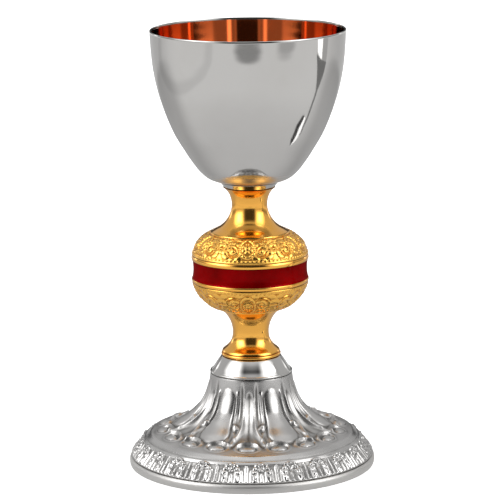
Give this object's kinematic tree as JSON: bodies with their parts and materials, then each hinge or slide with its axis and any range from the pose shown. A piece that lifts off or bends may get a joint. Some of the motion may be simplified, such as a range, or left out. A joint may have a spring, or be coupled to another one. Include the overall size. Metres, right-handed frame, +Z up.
{
  "type": "communion chalice",
  "caption": "Silver-plated communion cup on a gilt stem with an enamelled round knop and a lobed, leaf-bordered round foot.",
  "frame": {"origin": "the middle of the circle that the foot stands on, at table level", "axes": "+Z up along the axis of the chalice, -Y towards the front, where a flute of the foot is in the middle"},
  "size_m": [0.135, 0.135, 0.24],
  "materials": {
    "silver_plate": "polished",
    "cast_silver": "gloss",
    "satin_silver": "satin",
    "gilt": "polished",
    "enamel": "gloss",
    "raw_brass": "satin",
    "steel": "satin",
    "fibre": "matte"
  },
  "bodies": {
    "foot_and_stem": {"foot_rim": "satin_silver", "foot_border": "cast_silver", "foot_bell": "cast_silver", "foot_collar": "silver_plate", "stem_flange": "gilt", "lower_stem": "gilt", "knop_lower_shell": "gilt", "knop_spacer_tube": "raw_brass", "knop_band_ring": "gilt", "enamel_band": "enamel", "knop_upper_shell": "gilt", "upper_stem": "gilt", "tie_rod": "steel", "bearing_washer": "raw_brass", "lock_washer": "steel", "retaining_nut": "steel"},
    "washer": {"seat_washer": "fibre"},
    "cup": {"cup_seat_ring": "silver_plate", "cup_boss": "raw_brass", "cup_bowl": "silver_plate"}
  },
  "joints": [
    {"name": "cup_lift", "type": "slide", "parent": "foot_and_stem", "child": "washer", "axis": [0, 0, 1], "range_m": [0, 0.006]},
    {"name": "cup_turn", "type": "hinge", "parent": "washer", "child": "cup", "pos_m": [0, 0, 0.146], "axis": [0, 0, 1], "range_deg": [0, 2160]}
  ],
  "couplings": [
    {"joint": "cup_lift", "follows": "cup_turn", "m_per_rad": 0.00015915}
  ]
}
